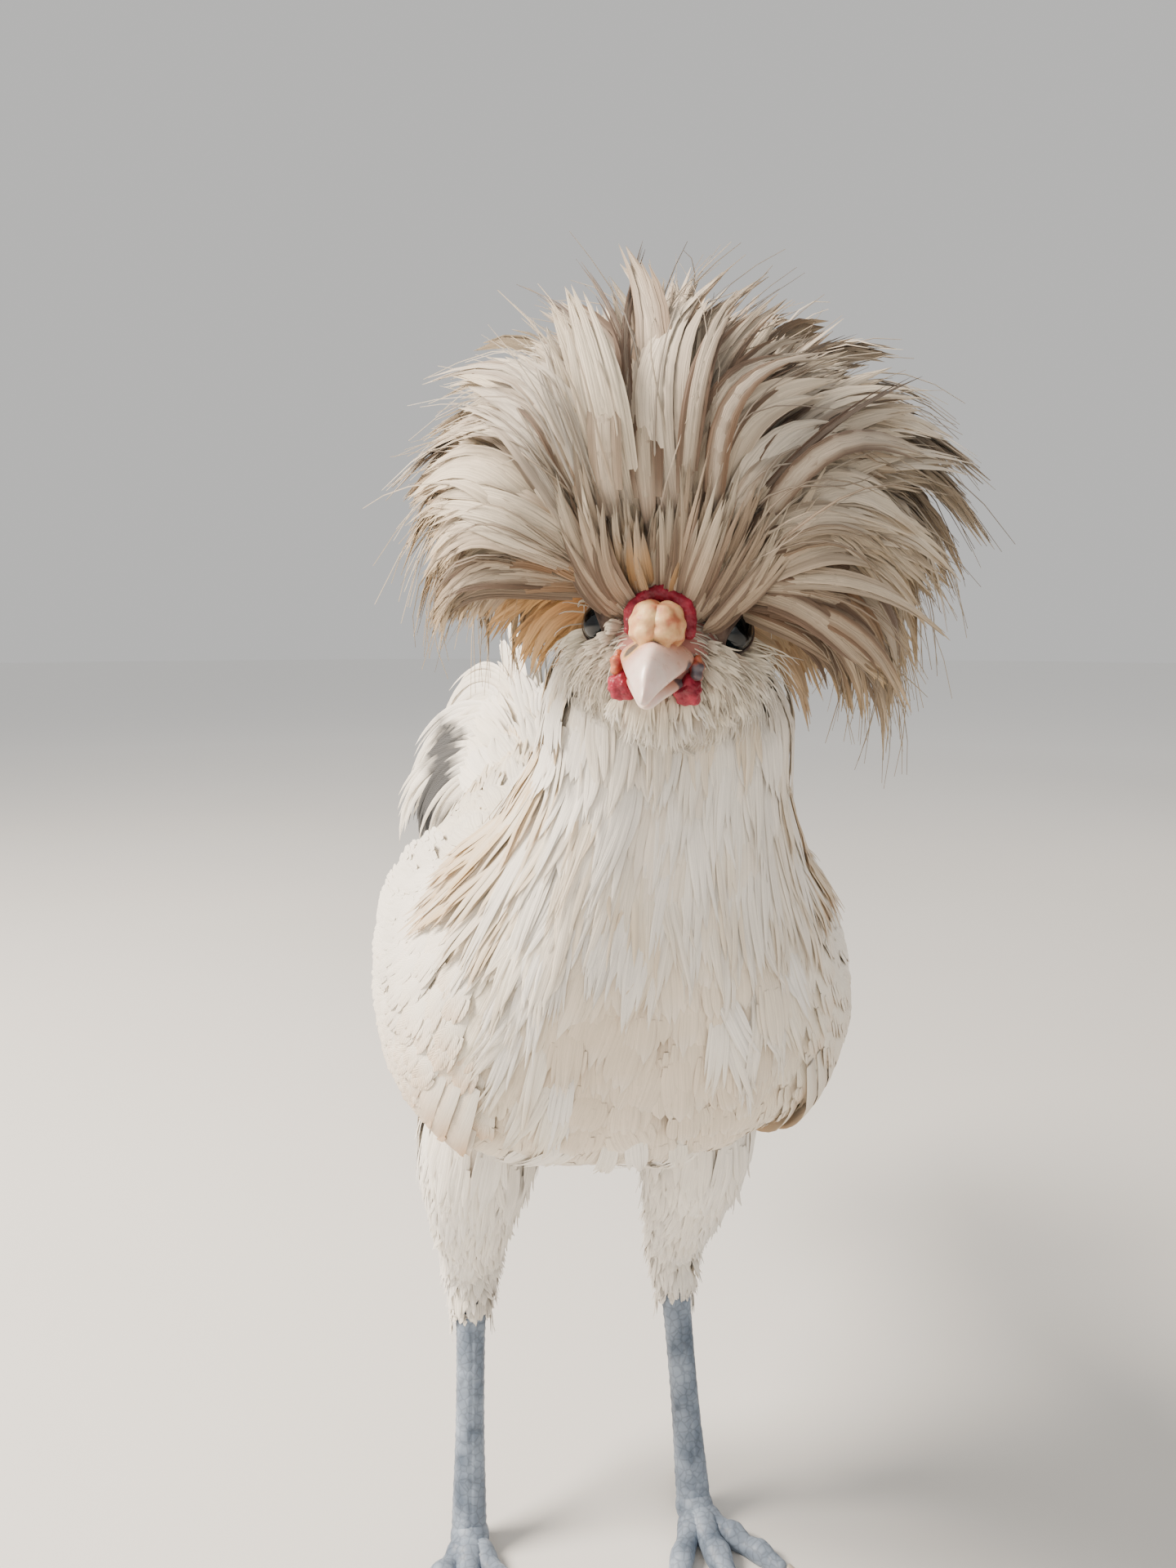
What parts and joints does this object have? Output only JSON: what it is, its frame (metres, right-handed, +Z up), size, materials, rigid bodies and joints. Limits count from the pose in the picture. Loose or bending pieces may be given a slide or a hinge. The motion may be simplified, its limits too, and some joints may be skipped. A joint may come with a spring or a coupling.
{
  "type": "polish crested chicken",
  "caption": "White crested bantam cockerel, a still life-size model standing on the floor: globe crest, lightly bearded face, small horseshoe comb, hackles, arched tail and bare slate legs.",
  "frame": {"origin": "on the floor, under the middle of the outline", "axes": "+X the bird's left, -Y the way its bill points, +Z up"},
  "size_m": [0.131, 0.3706, 0.3624],
  "materials": {
    "coat": "soft white feathers with cream shading",
    "crest": "narrow ivory feathers with taupe streaks",
    "hackle": "glossy cream and pale gold lanceolate feathers",
    "horn": "smooth pinkish horn with slate spots",
    "bulb": "yellowish peach skin",
    "comb": "fine-grained crimson flesh",
    "eye": "wet, dark brown",
    "slate": "scaled slate blue skin",
    "claw": "pale horn"
  },
  "bodies": {
    "root": {"torso": "coat", "saddle": "hackle", "neck": "hackle", "head": "coat", "crest": "crest", "comb": "comb", "nasal_bulb": "bulb", "bill_upper": "horn", "bill_lower": "horn", "tail": "coat", "eye_left": "eye", "wattle_left": "comb", "wing_left": "coat", "thigh_left": "coat", "shank_left": "slate", "foot_left": "slate", "claw_inner_left": "claw", "claw_middle_left": "claw", "claw_outer_left": "claw", "claw_hind_left": "claw", "eye_right": "eye", "wattle_right": "comb", "wing_right": "coat", "thigh_right": "coat", "shank_right": "slate", "foot_right": "slate", "claw_inner_right": "claw", "claw_middle_right": "claw", "claw_outer_right": "claw", "claw_hind_right": "claw"}
  },
  "joints": []
}
